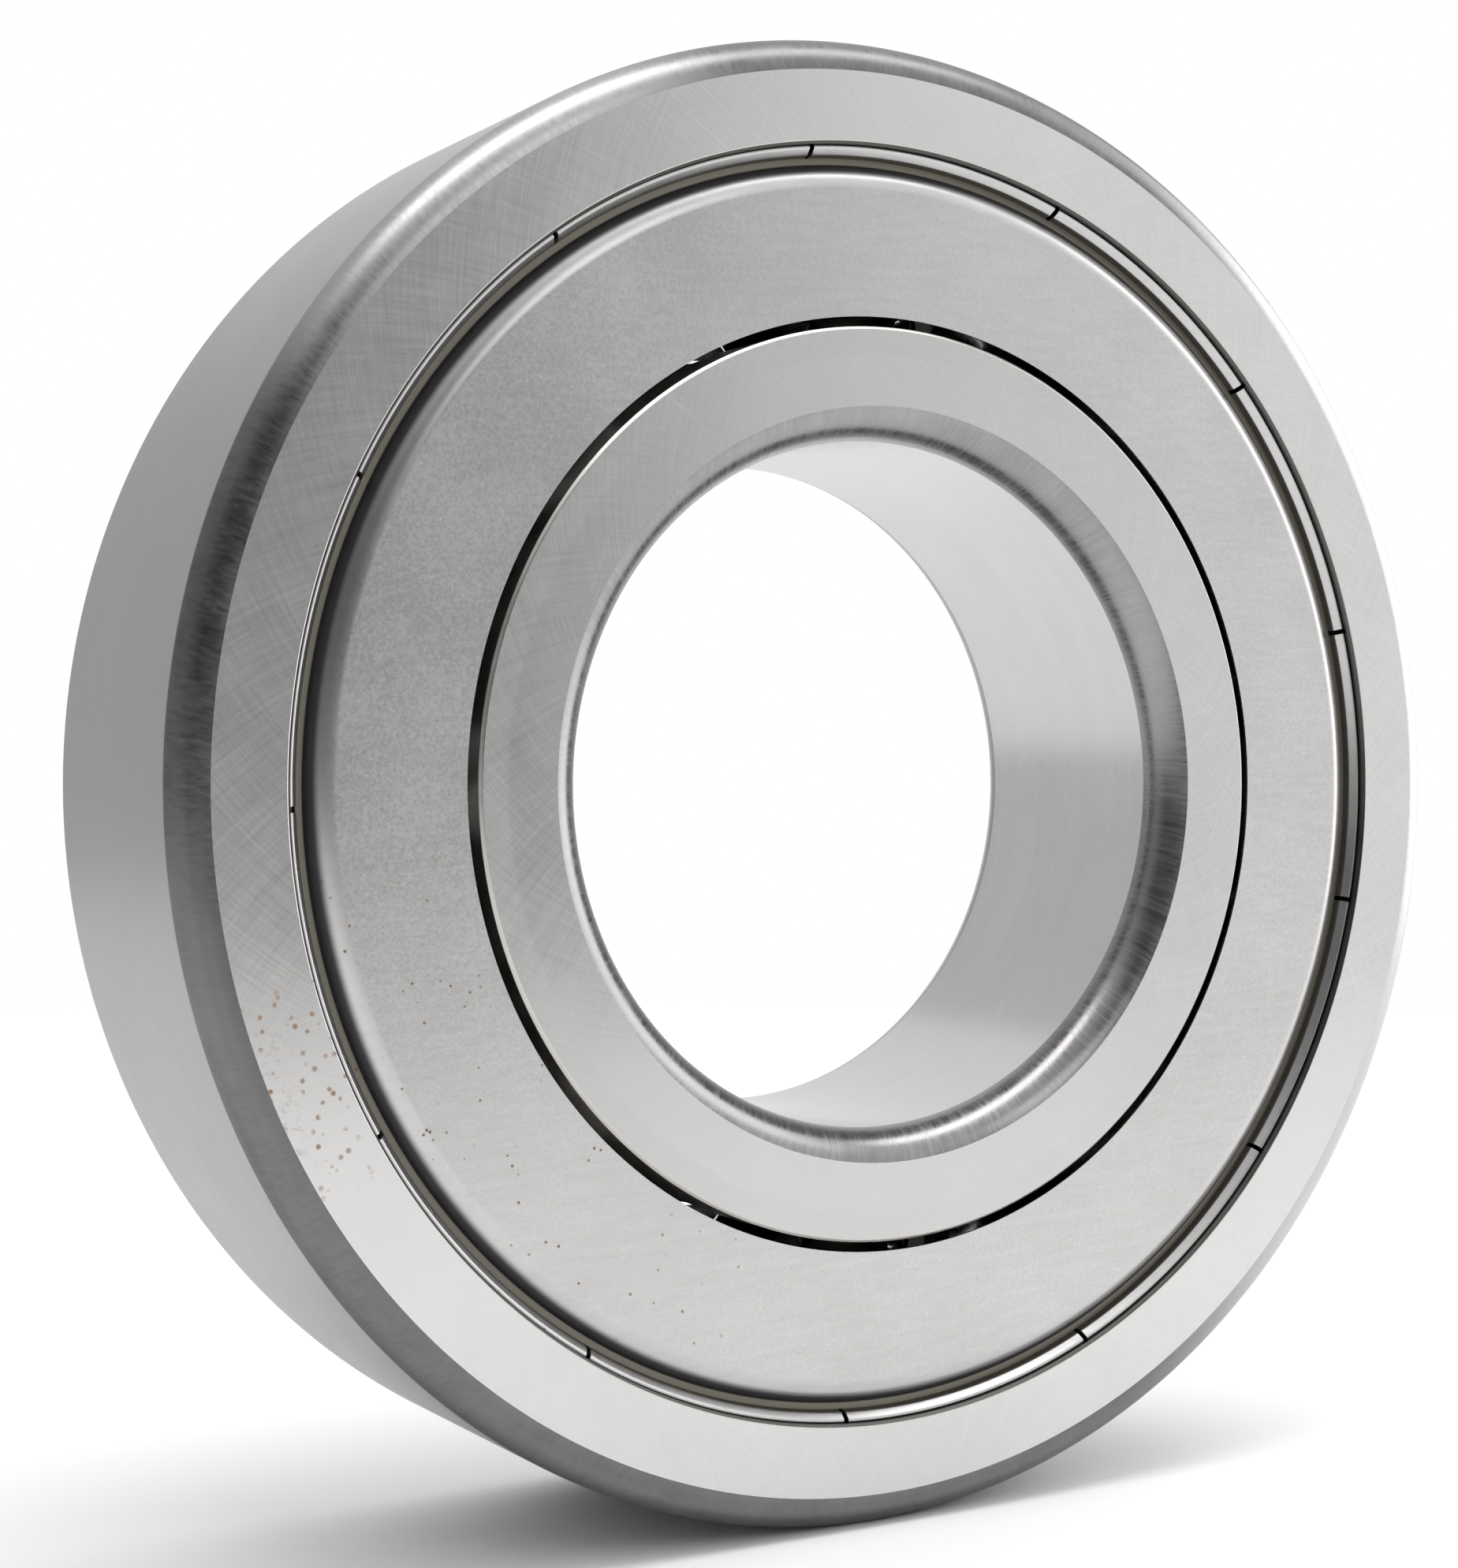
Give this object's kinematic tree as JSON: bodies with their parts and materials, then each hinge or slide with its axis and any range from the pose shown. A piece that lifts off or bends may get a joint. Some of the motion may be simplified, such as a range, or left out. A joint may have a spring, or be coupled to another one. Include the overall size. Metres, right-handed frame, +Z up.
{
  "type": "ball bearing",
  "caption": "Deep-groove ball bearing with ground steel rings, caged balls and a pressed sheet-steel shield on each side.",
  "frame": {"origin": "centre of the bearing, on its axis and midway between its side faces", "axes": "+Y along the bearing's axis, with the front face on the -Y side; the bearing stands on its rim, +Z up"},
  "size_m": [0.15, 0.035, 0.15],
  "materials": {
    "ring_steel": "ground, with turned corners",
    "ball_steel": "lapped mirror",
    "cage_steel": "pressed sheet, satin",
    "rivet_steel": "headed wire, satin",
    "shield_steel": "pressed sheet, fine satin"
  },
  "bodies": {
    "outer": {"outer_ring": "ring_steel", "shield_front": "shield_steel", "shield_rear": "shield_steel"},
    "inner": {"inner_ring": "ring_steel"},
    "cage": {"cage_front_half": "cage_steel", "cage_rear_half": "cage_steel", "rivet_1": "rivet_steel", "rivet_2": "rivet_steel", "rivet_3": "rivet_steel", "rivet_4": "rivet_steel", "rivet_5": "rivet_steel", "rivet_6": "rivet_steel", "rivet_7": "rivet_steel", "rivet_8": "rivet_steel"},
    "ball_1": {"ball_1": "ball_steel"},
    "ball_2": {"ball_2": "ball_steel"},
    "ball_3": {"ball_3": "ball_steel"},
    "ball_4": {"ball_4": "ball_steel"},
    "ball_5": {"ball_5": "ball_steel"},
    "ball_6": {"ball_6": "ball_steel"},
    "ball_7": {"ball_7": "ball_steel"},
    "ball_8": {"ball_8": "ball_steel"}
  },
  "joints": [
    {"name": "inner_spin", "type": "hinge", "parent": "outer", "child": "inner", "pos_m": [0, 0, 0], "axis": [0, 1, 0], "continuous": true},
    {"name": "cage_orbit", "type": "hinge", "parent": "outer", "child": "cage", "pos_m": [0, 0, 0], "axis": [0, 1, 0], "continuous": true},
    {"name": "ball_1_spin", "type": "hinge", "parent": "cage", "child": "ball_1", "pos_m": [0, 0, 0.055], "axis": [0, 1, 0], "continuous": true},
    {"name": "ball_2_spin", "type": "hinge", "parent": "cage", "child": "ball_2", "pos_m": [0.03889, 0, 0.03889], "axis": [0, 1, 0], "continuous": true},
    {"name": "ball_3_spin", "type": "hinge", "parent": "cage", "child": "ball_3", "pos_m": [0.055, 0, 0], "axis": [0, 1, 0], "continuous": true},
    {"name": "ball_4_spin", "type": "hinge", "parent": "cage", "child": "ball_4", "pos_m": [0.03889, 0, -0.03889], "axis": [0, 1, 0], "continuous": true},
    {"name": "ball_5_spin", "type": "hinge", "parent": "cage", "child": "ball_5", "pos_m": [0, 0, -0.055], "axis": [0, 1, 0], "continuous": true},
    {"name": "ball_6_spin", "type": "hinge", "parent": "cage", "child": "ball_6", "pos_m": [-0.03889, 0, -0.03889], "axis": [0, 1, 0], "continuous": true},
    {"name": "ball_7_spin", "type": "hinge", "parent": "cage", "child": "ball_7", "pos_m": [-0.055, 0, 0], "axis": [0, 1, 0], "continuous": true},
    {"name": "ball_8_spin", "type": "hinge", "parent": "cage", "child": "ball_8", "pos_m": [-0.03889, 0, 0.03889], "axis": [0, 1, 0], "continuous": true}
  ],
  "couplings": [
    {"joint": "cage_orbit", "follows": "inner_spin", "ratio": 0.38455},
    {"joint": "ball_1_spin", "follows": "inner_spin", "ratio": -2.0499},
    {"joint": "ball_2_spin", "follows": "inner_spin", "ratio": -2.0499},
    {"joint": "ball_3_spin", "follows": "inner_spin", "ratio": -2.0499},
    {"joint": "ball_4_spin", "follows": "inner_spin", "ratio": -2.0499},
    {"joint": "ball_5_spin", "follows": "inner_spin", "ratio": -2.0499},
    {"joint": "ball_6_spin", "follows": "inner_spin", "ratio": -2.0499},
    {"joint": "ball_7_spin", "follows": "inner_spin", "ratio": -2.0499},
    {"joint": "ball_8_spin", "follows": "inner_spin", "ratio": -2.0499}
  ]
}
